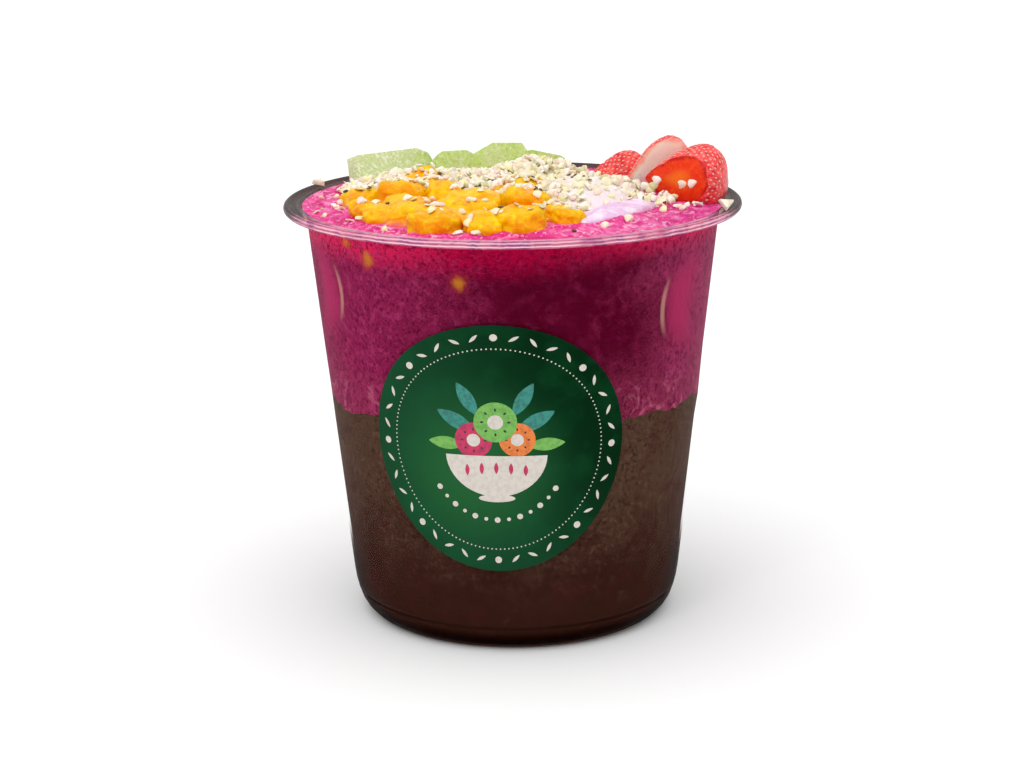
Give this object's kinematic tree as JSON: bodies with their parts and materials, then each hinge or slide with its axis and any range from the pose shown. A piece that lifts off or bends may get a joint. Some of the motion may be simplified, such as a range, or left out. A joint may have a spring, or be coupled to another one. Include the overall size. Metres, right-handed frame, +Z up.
{
  "type": "acai bowl",
  "caption": "Clear take-away cup filled to the rim with a dark and a pink blended fruit layer, topped with kiwi, mango, strawberry, yoghurt, hemp seed and nut",
  "frame": {"origin": "bottom centre of the cup, in the plane the foot stands on", "axes": "+Z up along the cup's axis; -Y is the front, where the sticker is; +X is to the right as seen from the front"},
  "size_m": [0.1172, 0.1172, 0.1226],
  "materials": {
    "clear_plastic": "polished",
    "label_paper": "satin",
    "acai_blend": "satin",
    "pitaya_blend": "satin",
    "strawberry": "satin",
    "kiwi_flesh": "satin",
    "mango_flesh": "satin",
    "thick_yoghurt": "satin",
    "hemp_seed": "matte",
    "nut": "matte"
  },
  "bodies": {
    "root": {"cup": "clear_plastic", "sticker": "label_paper", "acai_layer": "acai_blend", "pitaya_layer": "pitaya_blend", "strawberry_half": "strawberry", "strawberry_slice": "strawberry", "strawberry_back": "strawberry", "kiwi_slice_left": "kiwi_flesh", "kiwi_slice_middle": "kiwi_flesh", "kiwi_slice_right": "kiwi_flesh", "kiwi_slice_far": "kiwi_flesh", "mango_chunk_1": "mango_flesh", "mango_chunk_2": "mango_flesh", "mango_chunk_3": "mango_flesh", "mango_chunk_4": "mango_flesh", "mango_chunk_5": "mango_flesh", "mango_chunk_6": "mango_flesh", "mango_chunk_7": "mango_flesh", "mango_chunk_8": "mango_flesh", "mango_chunk_9": "mango_flesh", "mango_chunk_10": "mango_flesh", "mango_chunk_11": "mango_flesh", "mango_chunk_12": "mango_flesh", "mango_chunk_13": "mango_flesh", "yoghurt": "thick_yoghurt", "hemp_seed_heap": "hemp_seed", "nut_chip_left": "nut", "nut_chip_right": "nut"}
  },
  "joints": []
}
